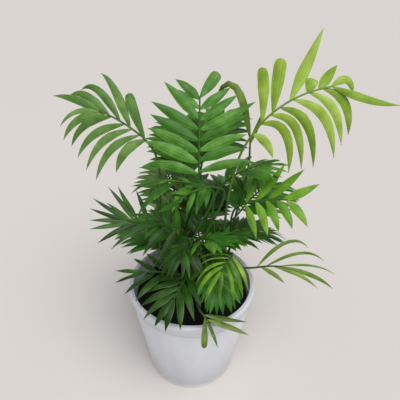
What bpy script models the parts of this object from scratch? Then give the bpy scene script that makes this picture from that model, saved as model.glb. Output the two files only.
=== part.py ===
"""A potted bamboo palm: a clump of slender canes with arching feather fronds, in a white moulded pot.

Metres, +Z up. The origin is the centre of the pot's flat underside, -Y is the side that faces the viewer.
Every frond is one thin blade, cut to its rib between the leaflets, that grows from the side of a cane.
"""

import math
import random
from dataclasses import dataclass, replace
from itertools import product

import bmesh
import bpy
from mathutils import Vector
from mathutils.bvhtree import BVHTree

UP = Vector((0, 0, 1))
GAP = 0.0003  # between pieces that touch

# The pot: a thin tapering shell with a rolled lip, and a shallow band below it
POT_HEIGHT = 0.1405
RIM_RADIUS = 0.080
MOUTH_RADIUS = 0.0740
LIP_HEIGHT = 0.0090
LIP_ROUND = 0.0022
BAND_HEIGHT = 0.0175  # from the lip's top to the band's foot
BAND_STEP = 0.0005
FOOT_RADIUS = 0.0585
FLARE = 0.148  # how much wider the wall gets with height
FOOT_ROUND = 0.0025
WALL = 0.0030
FLOOR = 0.0040
POT_STEPS = 40
SHARP_ANGLE = math.radians(32)

# The potting mix fills the pot to a little below its lip
MIX_BELOW_RIM = 0.020
MIX_LEVEL = POT_HEIGHT - MIX_BELOW_RIM

# The canes stand in the mix, spaced by the golden angle, and lean outwards
CANE_COUNT = 9
CLUMP_RADIUS = 0.036
CANE_HEIGHTS = (0.050, 0.085)
CANE_FOOT_RADIUS = 0.0044
CANE_TIP_RADIUS = 0.0030
CANE_LEAN = math.radians(9)
CANE_PARTS = 2
CANE_ROUND = 1  # the curve's bevel resolution, which gives 6 sides
GOLDEN_ANGLE = math.pi * (3 - math.sqrt(5))

# The stalks: each is a bare petiole that clasps its cane, and then the rib of the blade
SHEATH_RADIUS = 0.0025
PETIOLE_RADIUS = 0.0015
RIB_RADIUS = 0.0012
RIB_TIP_RADIUS = 0.0009
PETIOLE_STEPS = 6
RIB_STEPS = 4
STALK_ROUND = 0  # 4 sides
SLOT_TURNS = (0, 25, -25, 50, -50, 80, -80, 115, -115, 150, -150, 180)
SLOT_SHARES = (0.90, 0.62, 0.34, 0.76, 0.48, 0.20)
SEATS = (0.72, 0.86, 1.0)  # of the sheath's radius, from its middle to the cane: the closest that fits
STALK_NUDGES = ((0, 0), (3, 0), (-3, 0), (0, 0.006), (0, -0.006), (6, 0.006), (-6, -0.006), (9, 0), (-9, 0))

# The leaflets: a flat blade with a keel below, widest before the middle
POINTED_STATIONS = (0.28, 0.66, 1.0)
BLUNT_STATIONS = (0.36, 0.88, 1.0)
BLUNT = 0.3
LEAF_THICKNESS_SHARE = 0.0105
LEAST_THICKNESS = 0.0008
CLEARANCE = 0.0004
END_SWEEP = 13
ROOT_SINK = 0.0015
LEFT, RIGHT = 1, -1
SEED = 11


@dataclass
class Leaflet:
    """One leaflet of a frond. Angles are in degrees, and lengths in metres."""

    at: float  # share of the rib, from the blade's foot to its tip
    side: int  # LEFT or RIGHT, seen along the rib from above
    length: float
    sweep: float  # between the leaflet and the rib's forward direction
    droop: float = 0.5  # how far gravity bends it down
    width: float = 0.011
    lift: float = 12  # out of the blade's plane, towards its upper face
    taper: float = 0.9  # the higher, the longer the drawn-out tip


@dataclass
class Frond:
    """One frond, placed by the tip of its rib. Azimuths run from +X towards +Y, in degrees."""

    azimuth: float
    reach: float  # of the rib's tip, from the pot's axis
    height: float  # of the rib's tip, above the floor
    rib: float  # length of the blade's rib
    slope: float = 20  # the rib's rise at its tip
    arch: float = 35  # how much steeper the rib is at the blade's foot
    heading: float = None  # where the rib points, if not straight outwards
    turn: float = 0  # of the blade about its rib, left side up
    pairs: int = 6
    sweeps: tuple = (66, 34)  # of the leaflets at the blade's foot and near its tip
    leaf: float = 0.065  # length of its longest leaflet
    width: float = 0.0105
    droop: float = 0.5
    lift: float = 12
    rise: float = 80  # of the petiole, where it leaves its cane
    tint: str = "mid"
    own: tuple = ()  # leaflets set one by one, in place of the rule


def leaflet_row(side, *rows, lift=4):
    """Leaflets of one side, from rows of (share of the rib, length mm, sweep, droop, width mm, taper)."""
    return tuple(
        Leaflet(at, side, length / 1000, sweep, droop, width / 1000, lift, *taper)
        for at, length, sweep, droop, width, *taper in rows
    )


FRONDS = {
    # The pale young frond that stands out over the right side, its face to the viewer
    "frond_right_high": Frond(
        -4, 0.133, 0.393, rib=0.093, slope=14, arch=48, heading=-13, turn=62, tint="young", rise=86,
        own=leaflet_row(
            LEFT,
            (0.18, 55, 48, 0.0, 12, BLUNT),
            (0.34, 53, 45, 0.0, 13, BLUNT),
            (0.56, 71, 39, 0.0, 12),
            (0.76, 14, 55, 0.2, 12, BLUNT),
            (0.87, 27, 40, 0.1, 10),
            (1.00, 30, 34, 2.2, 8),
        ) + leaflet_row(
            RIGHT,
            (0.02, 34, 60, 1.6, 10),
            (0.17, 66, 28, 4.6, 10),
            (0.31, 72, 27, 4.4, 10),
            (0.44, 75, 33, 3.9, 10),
            (0.60, 75, 30, 2.9, 10),
            (0.77, 64, 28, 3.0, 9),
            (0.91, 54, 28, 3.2, 9),
            (1.00, 62, 40, -0.3, 8),
        ),
    ),
    # The darker frond that reaches out to the left
    "frond_left_high": Frond(
        168, 0.100, 0.356, rib=0.056, slope=17, arch=24, turn=-60, tint="dusky", rise=84,
        own=leaflet_row(
            RIGHT,
            (0.02, 50, 32, 0.0, 11, BLUNT),
            (0.36, 66, 35, 0.6, 10),
            (0.58, 64, 30, 1.0, 9),
            (0.80, 58, 24, 1.0, 9),
            (0.97, 55, 2, 0.3, 9),
        ) + leaflet_row(
            LEFT,
            (0.00, 50, 56, 1.8, 11),
            (0.14, 75, 44, 2.2, 9),
            (0.32, 73, 40, 1.9, 9),
            (0.48, 67, 37, 1.4, 9),
            (0.76, 58, 34, 1.3, 9),
            (0.88, 58, 28, 1.2, 9),
            (1.00, 50, 18, 1.0, 6),
        ),
    ),
    # The broad frond that rises through the middle, and the young one beside it, still half closed
    "frond_centre": Frond(
        76, 0.032, 0.369, rib=0.082, slope=50, arch=16, heading=90, tint="deep", rise=88,
        own=leaflet_row(
            LEFT,
            (0.98, 34, 46, 0.2, 11),
            (0.86, 40, 52, 0.2, 11),
            (0.72, 54, 44, 0.0, 12),
            (0.58, 58, 58, 0.1, 12.5),
            (0.44, 58, 60, 0.1, 13),
            (0.30, 59, 61, 0.2, 13),
            (0.16, 62, 62, 0.3, 13),
            (0.02, 64, 66, 0.7, 11),
        ) + leaflet_row(
            RIGHT,
            (1.00, 34, 34, 0.0, 13, BLUNT),
            (0.85, 40, 52, 0.1, 11),
            (0.71, 48, 54, 0.1, 11),
            (0.58, 65, 63, 0.0, 12),
            (0.45, 58, 60, 0.1, 12.5),
            (0.32, 52, 66, 0.2, 12.5),
            (0.19, 50, 66, 0.4, 12.5),
            (0.05, 62, 68, 0.5, 10),
        ),
    ),
    "frond_young_spear": Frond(
        18, 0.066, 0.328, rib=0.020, slope=80, arch=4, heading=100, tint="olive", rise=84,
        own=leaflet_row(LEFT, (1.0, 84, 8, 1.25, 9)) + leaflet_row(RIGHT, (0.7, 42, 20, 0.2, 5)),
    ),
    # The middle of the crown
    "frond_left_middle": Frond(
        -153, 0.074, 0.253, rib=0.056, slope=8, arch=16, turn=-50, heading=-168, tint="dark", rise=60,
        own=leaflet_row(
            RIGHT,
            (0.22, 32, 80, 0.0, 6.5),
            (0.42, 30, 74, 0.0, 6),
            (0.66, 37, 64, 0.0, 5.5),
            (0.84, 44, 56, 0.0, 6),
            (0.92, 46, 50, 0.0, 5.5),
            (0.96, 34, 34, 0.0, 4.5),
            (1.00, 46, 30, 0.0, 5),
            (1.00, 44, 16, 0.0, 5),
        ) + leaflet_row(
            LEFT,
            (1.00, 42, 0, 0.0, 5.5),
            (0.97, 44, 10, 0.1, 6),
            (0.80, 50, 25, 0.2, 6.5),
            (0.52, 54, 28, 0.4, 6),
            (0.24, 44, 46, 0.7, 7),
            (0.06, 44, 62, 0.8, 7),
        ),
    ),
    "frond_right_middle": Frond(
        -20, 0.105, 0.284, rib=0.052, slope=10, arch=24, heading=-26, turn=44, tint="young", rise=74,
        own=leaflet_row(
            LEFT,
            (0.10, 36, 62, 0.0, 8),
            (0.34, 50, 44, 0.0, 9.5),
            (0.62, 48, 38, 0.0, 9.5),
            (0.92, 40, 25, 0.0, 10),
        ) + leaflet_row(
            RIGHT,
            (1.00, 35, 34, 0.8, 9.5),
            (0.80, 35, 46, 0.8, 9.5),
            (0.58, 37, 56, 0.8, 9.5),
            (0.34, 40, 60, 0.9, 9.5),
            (0.08, 42, 62, 1.0, 9),
        ),
    ),
    "frond_right_inner": Frond(
        4, 0.072, 0.300, rib=0.042, slope=14, arch=30, pairs=3, leaf=0.048, droop=0.6, tint="deep",
    ),
    "frond_left_inner": Frond(
        -140, 0.034, 0.296, rib=0.046, slope=0, arch=26, heading=-172, tint="mid",
        own=leaflet_row(
            LEFT,
            (0.10, 44, 66, 0.8, 9),
            (0.42, 54, 60, 0.5, 10),
            (0.82, 56, 38, 1.0, 10),
        ) + leaflet_row(
            RIGHT,
            (0.12, 54, 60, 0.7, 9),
            (0.45, 60, 44, 1.0, 9),
            (0.74, 50, 32, 2.0, 6),
            (1.00, 44, 8, 1.0, 8),
        ),
    ),
    "frond_front_pale": Frond(
        -100, 0.060, 0.297, rib=0.038, slope=-32, arch=44, heading=-158, tint="mid",
        own=leaflet_row(LEFT, (0.20, 24, 60, 1.2, 6), (0.60, 26, 46, 1.4, 7), (1.00, 26, 20, 2.4, 8))
        + leaflet_row(RIGHT, (0.30, 26, 60, 0.6, 7), (0.65, 30, 46, 0.4, 8), (1.00, 28, 10, 0.2, 7)),
    ),
    "frond_front_middle": Frond(
        -98, 0.044, 0.218, rib=0.040, slope=-4, arch=26, heading=-104, pairs=5, leaf=0.044, width=0.0075,
        droop=1.3, tint="dark",
    ),
    # The low fronds that hang over the rim
    "frond_front_right_low": Frond(
        -68, 0.084, 0.224, rib=0.026, slope=-14, arch=20, heading=-118, tint="lime", rise=74,
        own=leaflet_row(
            LEFT,
            (0.05, 42, 58, 1.8, 5.5),
            (0.35, 44, 56, 2.4, 5.5),
            (0.65, 44, 46, 2.8, 4),
            (0.95, 34, 20, 2.0, 4.5),
        ) + leaflet_row(
            RIGHT,
            (0.05, 50, 76, 1.3, 3.5),
            (0.25, 46, 68, 1.7, 4),
            (0.50, 46, 58, 2.2, 5),
            (0.75, 46, 44, 2.6, 5.5),
            (1.00, 38, 16, 2.2, 5.5),
        ),
    ),
    "frond_front_right_under": Frond(
        -64, 0.070, 0.183, rib=0.045, slope=-20, arch=20, heading=-72, pairs=5, leaf=0.040, width=0.009,
        droop=1.2, tint="mid", rise=70,
    ),
    "frond_front_left_low": Frond(
        -103, 0.078, 0.182, rib=0.043, slope=-14, arch=20, heading=-112, tint="dark", rise=70,
        own=leaflet_row(
            LEFT,
            (0.22, 42, 52, 0.6, 9),
            (0.46, 46, 40, 0.8, 9),
            (0.72, 44, 26, 0.9, 9),
            (1.00, 36, 4, 1.2, 9),
        ) + leaflet_row(
            RIGHT,
            (0.20, 44, 64, 0.5, 9),
            (0.42, 48, 56, 0.5, 9),
            (0.62, 48, 48, 0.6, 9),
            (0.82, 46, 38, 0.8, 9),
            (1.00, 36, 20, 1.0, 9),
        ),
    ),
    "frond_left_low": Frond(
        -145, 0.066, 0.186, rib=0.042, slope=-4, arch=18, heading=-178, tint="dark", rise=70,
        own=leaflet_row(
            LEFT,
            (0.12, 46, 60, 0.5, 9),
            (0.42, 50, 50, 0.5, 9),
            (0.72, 44, 40, 0.5, 9),
            (1.00, 36, 16, 0.4, 8),
        ) + leaflet_row(
            RIGHT,
            (0.10, 46, 60, 0.3, 9),
            (0.38, 46, 52, 0.3, 9),
            (0.66, 42, 42, 0.3, 8),
            (0.95, 40, 14, 0.3, 8),
        ),
    ),
    "frond_right_low": Frond(
        -6, 0.110, 0.174, rib=0.032, slope=0, arch=18, turn=62, tint="olive", rise=60,
        own=leaflet_row(
            LEFT,
            (0.10, 78, 40, 1.2, 5),
            (0.45, 78, 28, 1.1, 4.5),
            (0.90, 72, 10, 0.7, 3),
        ) + leaflet_row(
            RIGHT,
            (0.95, 74, 6, 0.7, 6),
            (0.70, 62, 16, 0.5, 5),
            (0.25, 36, 30, 0.6, 6),
        ),
    ),
    "frond_rim": Frond(
        -78, 0.088, 0.162, rib=0.012, slope=-24, arch=12, heading=-52, tint="mid", rise=62,
        own=leaflet_row(RIGHT, (0.80, 32, 38, 1.0, 7, BLUNT), (1.00, 32, 6, 1.0, 4.5))
        + leaflet_row(LEFT, (1.00, 50, 44, 0.3, 7), (0.50, 48, 48, 0.0, 6.5)),
    ),
}

# The crown's back and inside, by tiers: (name, azimuths, reach, height, rib, slope, leaf)
TIERS = (
    ("frond_top_back", (66, 102), 0.075, 0.312, 0.060, 16, 0.050),
    ("frond_middle_back", (34, 62, 88, 110), 0.104, 0.245, 0.066, 0, 0.056),
    ("frond_low_back", (24, 52, 82, 112, 146), 0.098, 0.172, 0.056, -20, 0.050),
    ("frond_inner", (-48, 8, 62, 130, 178), 0.048, 0.220, 0.044, 20, 0.040),
)
TIER_TINTS = ("mid", "deep", "dark", "dusky")


def tier_fronds():
    """The fronds of the tiers, each a little unlike the next."""
    chance = random.Random(SEED)
    made = {}
    for name, azimuths, reach, height, rib, slope, leaf in TIERS:
        for i, azimuth in enumerate(azimuths):
            made[f"{name}_{i + 1}"] = Frond(
                azimuth + chance.uniform(-6, 6),
                reach * chance.uniform(0.88, 1.12),
                height * chance.uniform(0.93, 1.07),
                rib,
                slope + chance.uniform(-8, 8),
                heading=azimuth + chance.uniform(-15, 15),
                leaf=leaf,
                turn=chance.uniform(-14, 14),
                tint=TIER_TINTS[i % len(TIER_TINTS)],
            )
    return made


def clear_scene():
    for old in list(bpy.data.objects):
        bpy.data.objects.remove(old, do_unlink=True)


def new_collection(name):
    collection = bpy.data.collections.new(name)
    bpy.context.scene.collection.children.link(collection)
    return collection


def material(name, colour, roughness, metallic=0.0):
    made = bpy.data.materials.new(name)
    made.use_nodes = True
    shader = made.node_tree.nodes["Principled BSDF"]
    shader.inputs["Base Color"].default_value = (*colour, 1)
    shader.inputs["Roughness"].default_value = roughness
    shader.inputs["Metallic"].default_value = metallic
    made.diffuse_color = (*colour, 1)
    return made


def place(name, mesh, finish, collection):
    made = bpy.data.objects.new(name, mesh)
    mesh.materials.append(finish)
    collection.objects.link(made)
    return made


def mesh_of(name, points, faces):
    mesh = bpy.data.meshes.new(name)
    mesh.from_pydata(points, [], faces)
    mesh.update()
    return mesh


def shade(mesh):
    """Smooth shading, but for the edges that are sharp."""
    mesh.shade_smooth()
    mesh.set_sharp_from_angle(angle=SHARP_ANGLE)


def evaluated_mesh(made):
    """The object's mesh with its modifiers applied."""
    bpy.context.view_layer.update()
    graph = bpy.context.evaluated_depsgraph_get()
    mesh = bpy.data.meshes.new_from_object(made.evaluated_get(graph))
    shade(mesh)
    return mesh


# The turned pieces

def turned(name, profile, finish, collection):
    """A solid of revolution about the Z axis, from (radius, height) points down its outer side."""
    mesh = bpy.data.meshes.new(name)
    edges = [(i, i + 1) for i in range(len(profile) - 1)]
    mesh.from_pydata([(r, 0, z) for r, z in profile], edges, [])
    made = place(name, mesh, finish, collection)
    screw = made.modifiers.new("turned", "SCREW")
    screw.steps = screw.render_steps = POT_STEPS
    screw.use_merge_vertices = True
    screw.merge_threshold = 0.00005
    made.data = evaluated_mesh(made)
    made.modifiers.clear()
    return made


def arc(centre, radius, start, end, steps):
    """Points (r, z) on a circle's arc, angles in degrees."""
    angles = [math.radians(start + (end - start) * i / steps) for i in range(steps + 1)]
    return [(centre[0] + radius * math.cos(a), centre[1] + radius * math.sin(a)) for a in angles]


def outer_radius(z):
    """The pot's tapering outer wall."""
    return FOOT_RADIUS + FLARE * z


def inner_radius(z):
    """The pot's inside, which runs straight from the floor's edge to the mouth."""
    low = outer_radius(FLOOR) - WALL
    return low + (MOUTH_RADIUS - low) * (z - FLOOR) / (POT_HEIGHT - FLOOR)


def make_pot(collection):
    white = material("white_plastic", (0.80, 0.80, 0.82), 0.35)
    lip_foot = POT_HEIGHT - LIP_HEIGHT
    band_foot = POT_HEIGHT - BAND_HEIGHT
    profile = arc((RIM_RADIUS - LIP_ROUND, POT_HEIGHT - LIP_ROUND), LIP_ROUND, 90, 0, 3)
    profile += [
        (RIM_RADIUS - 0.0004, lip_foot + 0.0008),
        (outer_radius(lip_foot) + BAND_STEP, lip_foot),
        (outer_radius(band_foot) + BAND_STEP, band_foot),
        (outer_radius(band_foot), band_foot - BAND_STEP),
    ]
    profile += arc((FOOT_RADIUS - FOOT_ROUND, FOOT_ROUND), FOOT_ROUND, 0, -90, 3)
    profile += [(0, 0), (0, FLOOR), (inner_radius(FLOOR), FLOOR)]
    profile += [(MOUTH_RADIUS, POT_HEIGHT - 0.0015), (MOUTH_RADIUS + 0.0012, POT_HEIGHT), profile[0]]
    return turned("pot", profile, white, collection)


def make_mix(collection):
    brown = material("potting_mix", (0.018, 0.013, 0.010), 0.95)
    low = FLOOR + GAP
    gap = GAP * 1.6  # the facets of the wall come a little inwards of its round
    profile = [
        (0, MIX_LEVEL),
        (inner_radius(MIX_LEVEL) - gap, MIX_LEVEL),
        (inner_radius(low) - gap, low),
        (0, low),
    ]
    return turned("potting_mix", profile, brown, collection)


# The canes

@dataclass
class Cane:
    foot: Vector
    along: Vector
    height: float

    def point(self, share):
        return self.foot + self.along * self.height * share

    def radius(self, share):
        flare = CANE_FOOT_RADIUS - CANE_TIP_RADIUS
        return CANE_TIP_RADIUS + flare * (1 - share) ** 2


def cane_rows():
    low, high = CANE_HEIGHTS
    for i in range(CANE_COUNT):
        spread = math.sqrt(i / CANE_COUNT)
        angle = i * GOLDEN_ANGLE
        out = Vector((math.cos(angle), math.sin(angle), 0))
        lean = CANE_LEAN * spread
        yield Cane(
            foot=out * CLUMP_RADIUS * spread + UP * (MIX_LEVEL + GAP),
            along=(UP * math.cos(lean) + out * math.sin(lean)).normalized(),
            height=low + (high - low) * ((i * 4) % CANE_COUNT) / (CANE_COUNT - 1),
        )


def tube(line, radii, roundness):
    """(points, faces) of a closed tube along a line of points: a bevelled curve, its caps welded on."""
    curve = bpy.data.curves.new("tube", "CURVE")
    curve.dimensions = "3D"
    curve.bevel_depth = 1
    curve.bevel_resolution = roundness
    curve.use_fill_caps = True
    spline = curve.splines.new("POLY")
    spline.points.add(len(line) - 1)
    for point, here, radius in zip(spline.points, line, radii):
        point.co = (*here, 1)
        point.radius = radius
    path = bpy.data.objects.new("tube", curve)
    welded = bmesh.new()
    welded.from_mesh(bpy.data.meshes.new_from_object(path))
    bmesh.ops.remove_doubles(welded, verts=welded.verts, dist=0.00001)
    points = [vert.co.copy() for vert in welded.verts]
    faces = [tuple(vert.index for vert in face.verts) for face in welded.faces]
    welded.free()
    bpy.data.objects.remove(path)
    return points, faces


def cane_shape(cane):
    """A straight tapering cane whose foot is cut level with the mix."""
    shares = [i / CANE_PARTS for i in range(CANE_PARTS + 1)]
    points, faces = tube([cane.point(t) for t in shares], [cane.radius(t) for t in shares], CANE_ROUND)
    for p in points:
        if (p - cane.foot).dot(cane.along) < cane.height / (2 * CANE_PARTS):
            p -= cane.along * ((p.z - cane.foot.z) / cane.along.z)
    return points, faces


# The fronds' lines

def bezier(a, b, c, d, t):
    s = 1 - t
    return a * s**3 + b * 3 * s * s * t + c * 3 * s * t * t + d * t**3


def direction(azimuth, rise):
    a, e = math.radians(azimuth), math.radians(rise)
    return Vector((math.cos(a) * math.cos(e), math.sin(a) * math.cos(e), math.sin(e)))


def rib_line(frond):
    """Points along the rib from the blade's foot to its tip, worked back from the tip."""
    heading = frond.azimuth if frond.heading is None else frond.heading
    points = [direction(frond.azimuth, 0) * frond.reach + UP * frond.height]
    for i in range(RIB_STEPS):
        rise = frond.slope + frond.arch * (i + 0.5) / RIB_STEPS
        points.append(points[-1] - direction(heading, rise) * frond.rib / RIB_STEPS)
    return points[::-1]


def stalk_line(frond, foot, out_angle):
    """Points from the foot on the cane to the rib's tip."""
    rib = rib_line(frond)
    span = (rib[0] - foot).length
    b = foot + direction(out_angle, frond.rise) * span * 0.40
    c = rib[0] - (rib[1] - rib[0]).normalized() * span * 0.26
    petiole = [bezier(foot, b, c, rib[0], i / PETIOLE_STEPS) for i in range(PETIOLE_STEPS)]
    return petiole + rib


def stalk_radii():
    radii = [SHEATH_RADIUS]
    radii += [PETIOLE_RADIUS + (RIB_RADIUS - PETIOLE_RADIUS) * i / PETIOLE_STEPS for i in range(1, PETIOLE_STEPS)]
    return radii + [RIB_RADIUS + (RIB_TIP_RADIUS - RIB_RADIUS) * i / RIB_STEPS for i in range(RIB_STEPS + 1)]


def along_line(line, share):
    """(point, direction) at a share of a line's points."""
    place_at = min(max(share, 0.0), 1.0) * (len(line) - 1)
    i = min(int(place_at), len(line) - 2)
    point = line[i].lerp(line[i + 1], place_at - i)
    before, after = max(i - 1, 0), min(i + 2, len(line) - 1)
    first = (line[i + 1] - line[before]).normalized()
    second = (line[after] - line[i]).normalized()
    return point, first.lerp(second, place_at - i).normalized()


def blade_frame(frond, along):
    """(left, upper) directions of the blade where its rib points along."""
    a = math.radians(frond.azimuth if frond.heading is None else frond.heading)
    level = Vector((-math.sin(a), math.cos(a), 0))
    left = (level - along * level.dot(along)).normalized()
    upper = along.cross(left)
    turn = math.radians(frond.turn)
    return (left * math.cos(turn) + upper * math.sin(turn), upper * math.cos(turn) - left * math.sin(turn))


def leaflets_of(frond, chance):
    """The frond's leaflets: its own ones or, where it has none, those that the rule gives."""
    if frond.own:
        return list(frond.own)
    made = []
    for side in (LEFT, RIGHT):
        for i in range(frond.pairs):
            at = (i + (0.35 if side == LEFT else 0.6)) / (frond.pairs + 0.2)
            arch = math.sin(math.pi * (0.22 + 0.62 * at))
            made.append(Leaflet(
                at, side,
                frond.leaf * (0.55 + 0.45 * arch) * chance.uniform(0.93, 1.07),
                frond.sweeps[0] + (frond.sweeps[1] - frond.sweeps[0]) * at + chance.uniform(-5, 5),
                frond.droop * chance.uniform(0.75, 1.3),
                frond.width * (0.75 + 0.25 * arch) * chance.uniform(0.93, 1.07),
                frond.lift + chance.uniform(-5, 5),
            ))
        made.append(Leaflet(1.0, side, frond.leaf * chance.uniform(0.62, 0.78), END_SWEEP,
                            frond.droop * 0.9, frond.width * 0.85, frond.lift))
    return made


def stations_of(leaflet):
    return BLUNT_STATIONS if leaflet.taper <= BLUNT else POINTED_STATIONS


def leaflet_line(frond, line, leaflet, more_droop, more_sweep, size, stations):
    """The root, and then (point, edge direction, upper direction) at each station of a leaflet."""
    root, along = along_line(line[PETIOLE_STEPS:], leaflet.at)
    left, upper = blade_frame(frond, along)
    sweep = math.radians(leaflet.sweep + more_sweep)
    lift = math.radians(leaflet.lift)
    out = left * leaflet.side * math.cos(lift) + upper * math.sin(lift)
    face = upper * math.cos(lift) - left * leaflet.side * math.sin(lift)
    first = along * math.cos(sweep) + out * math.sin(sweep)
    fall = UP * (leaflet.droop + more_droop)
    root -= along * ROOT_SINK
    rows, here, before = [], root.copy(), 0.0
    for share in stations:
        step = (first - fall * (share + before) / 2).normalized()
        here = here + step * leaflet.length * size * (share - before)
        heading = (first - fall * share).normalized()
        edge = heading.cross(face).normalized()
        rows.append((here, edge, edge.cross(heading)))
        before = share
    return root, rows


def width_share(share, taper):
    """The leaflet's outline: its width at a share of its length, as a share of its greatest width."""
    rise = 0.6
    peak = rise / (rise + taper)
    return (share**rise) * (1 - share) ** taper / (peak**rise * (1 - peak) ** taper)


def leaflet_shape(leaflet, root, rows, grow=0.0):
    """(points, faces) of a leaflet's solid: a flat top and a keel below, drawn to a point at both ends."""
    thickness = max(LEAST_THICKNESS, leaflet.length * LEAF_THICKNESS_SHARE)
    points, faces = [root], []
    for (here, edge, face), share in zip(rows[:-1], stations_of(leaflet)):
        half = leaflet.width * width_share(share, leaflet.taper) / 2 + grow
        top = here + face * (thickness * 0.4 + grow)
        points += [top - edge * half, top + edge * half, here - face * (thickness * 0.6 + grow)]
    tip = len(points)
    points.append(rows[-1][0])
    for k in range(3):
        following = (k + 1) % 3
        faces.append((0, 1 + following, 1 + k))
        for ring in range(1, tip - 3, 3):
            faces.append((ring + k, ring + following, ring + following + 3, ring + k + 3))
        faces.append((tip - 3 + k, tip - 3 + following, tip))
    return points, faces


# Keeping clear

class Crowd:
    """What has been placed so far, by owner, and whether a new shape touches what others own."""

    def __init__(self):
        self.placed = []

    def add(self, owner, points, faces):
        low = Vector(map(min, zip(*points)))
        high = Vector(map(max, zip(*points)))
        self.placed.append((owner, low, high, BVHTree.FromPolygons(points, faces)))

    def is_clear(self, owner, points, faces):
        low = Vector(map(min, zip(*points)))
        high = Vector(map(max, zip(*points)))
        tree = None
        for other, other_low, other_high, other_tree in self.placed:
            apart = any(low[k] > other_high[k] or other_low[k] > high[k] for k in range(3))
            if other == owner or apart:
                continue
            tree = tree or BVHTree.FromPolygons(points, faces)
            if tree.overlap(other_tree):
                return False
        return True


def sleeve(line, radii):
    """A stalk's tube, grown by the clearance and, at the foot that lies against its cane, by the gap."""
    grown = [r + CLEARANCE for r in radii]
    return tube(line, [radii[0] + GAP, *grown[1:]], STALK_ROUND)


def free_stalk(frond, canes, crowd):
    """(frond, line) of the first stalk that keeps clear, moving the frond a little where none does."""
    radii = stalk_radii()
    slots = list(product(SLOT_TURNS, canes, SLOT_SHARES, SEATS))
    for more_azimuth, more_height in STALK_NUDGES:
        moved = replace(frond, azimuth=frond.azimuth + more_azimuth, height=frond.height + more_height)
        for turn, cane, share, seat in slots:
            out = moved.azimuth + turn
            foot = cane.point(share) + direction(out, 0) * (cane.radius(share) + SHEATH_RADIUS * seat + GAP)
            line = stalk_line(moved, foot, out)
            if crowd.is_clear("", *sleeve(line, radii)):
                return moved, line
    raise RuntimeError("no free slot")


def place_stalks(fronds, canes, crowd):
    """Gives each frond a slot on one of the canes nearest to it. Returns {name: (frond, line)}."""
    stalks = {}
    for name, frond in fronds.items():
        aim = direction(frond.azimuth, 0) * min(frond.reach, CLUMP_RADIUS) * 0.7
        nearest = sorted(canes, key=lambda cane: (cane.foot.xy.to_3d() - aim).length)[:4]
        stalks[name] = free_stalk(frond, nearest, crowd)
        crowd.add(name, *tube(stalks[name][1], stalk_radii(), STALK_ROUND))
    return stalks


# How a leaflet is moved until it keeps clear: (more droop, more sweep, size)
TRIES = ((0, 0, 1), (0.15, 0, 1), (-0.15, 0, 1), (0, 7, 1), (0, -7, 1), (0.35, 0, 1), (-0.3, 5, 1),
         (0.2, 10, 0.9), (-0.2, -10, 0.9), (0, 0, 0.75), (0.4, 8, 0.75), (-0.3, -8, 0.7), (0, 0, 0.5))


def frond_shapes(name, frond, line, crowd):
    """The stalk and every leaflet that finds room, as (points, faces) each."""
    chance = random.Random(f"{SEED} {name}")
    shapes = [tube(line, stalk_radii(), STALK_ROUND)]
    for leaflet in leaflets_of(frond, chance):
        for more_droop, more_sweep, size in TRIES:
            shape = leaflet_line(frond, line, leaflet, more_droop, more_sweep, size, stations_of(leaflet))
            if crowd.is_clear(name, *leaflet_shape(leaflet, *shape, CLEARANCE)):
                shapes.append(leaflet_shape(leaflet, *shape))
                crowd.add(name, *shapes[-1])
                break
    return shapes


def join_by_union(name, shapes, finish, collection):
    """One solid from overlapping shapes: a Boolean union of the first with the rest."""
    parts = bpy.data.collections.new(name + "_parts")
    bpy.context.scene.collection.children.link(parts)
    first, *rest = [place(f"{name}_{i}", mesh_of(name, *shape), finish, parts) for i, shape in enumerate(shapes)]
    parts.objects.unlink(first)
    collection.objects.link(first)
    union = first.modifiers.new("union", "BOOLEAN")
    union.operation = "UNION"
    union.solver = "MANIFOLD"
    union.operand_type = "COLLECTION"
    union.collection = parts
    first.data = evaluated_mesh(first)
    first.modifiers.clear()
    first.name = name
    for piece in rest:
        bpy.data.objects.remove(piece, do_unlink=True)
    bpy.data.collections.remove(parts)
    return first


TINTS = {
    "young": (0.22, 0.42, 0.05),
    "mid": (0.07, 0.20, 0.03),
    "deep": (0.05, 0.16, 0.035),
    "dusky": (0.08, 0.19, 0.045),
    "lime": (0.30, 0.47, 0.03),
    "dark": (0.02, 0.07, 0.015),
    "olive": (0.14, 0.20, 0.03),
}


def main():
    clear_scene()
    palm = new_collection("potted_bamboo_palm")
    make_pot(palm)
    make_mix(palm)
    crowd = Crowd()
    bark = material("cane_bark", (0.06, 0.10, 0.03), 0.6)
    canes = list(cane_rows())
    for i, cane in enumerate(canes):
        shape = cane_shape(cane)
        crowd.add(f"cane_{i + 1}", *shape)
        made = place(f"cane_{i + 1}", mesh_of("cane", *shape), bark, palm)
        shade(made.data)
    greens = {tint: material("leaf_" + tint, colour, 0.45) for tint, colour in TINTS.items()}
    stalks = place_stalks({**FRONDS, **tier_fronds()}, canes, crowd)
    for name, (frond, line) in stalks.items():
        shapes = frond_shapes(name, frond, line, crowd)
        join_by_union(name, shapes, greens[frond.tint], palm)


main()
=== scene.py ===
"""Looks of the potted bamboo palm: fine leaflets, ringed canes, crumbly potting mix and a moulded white pot.

Metres, +Z up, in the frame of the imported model. The canes, stalks and leaflets grow by the same rule and
from the same seeds as the solids, and each leaflet is then drawn finer along the same line.
"""

import math
import random
from dataclasses import dataclass, replace
from itertools import product

import bmesh
import bpy
from mathutils import Matrix, Quaternion, Vector, noise
from mathutils.bvhtree import BVHTree


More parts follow.
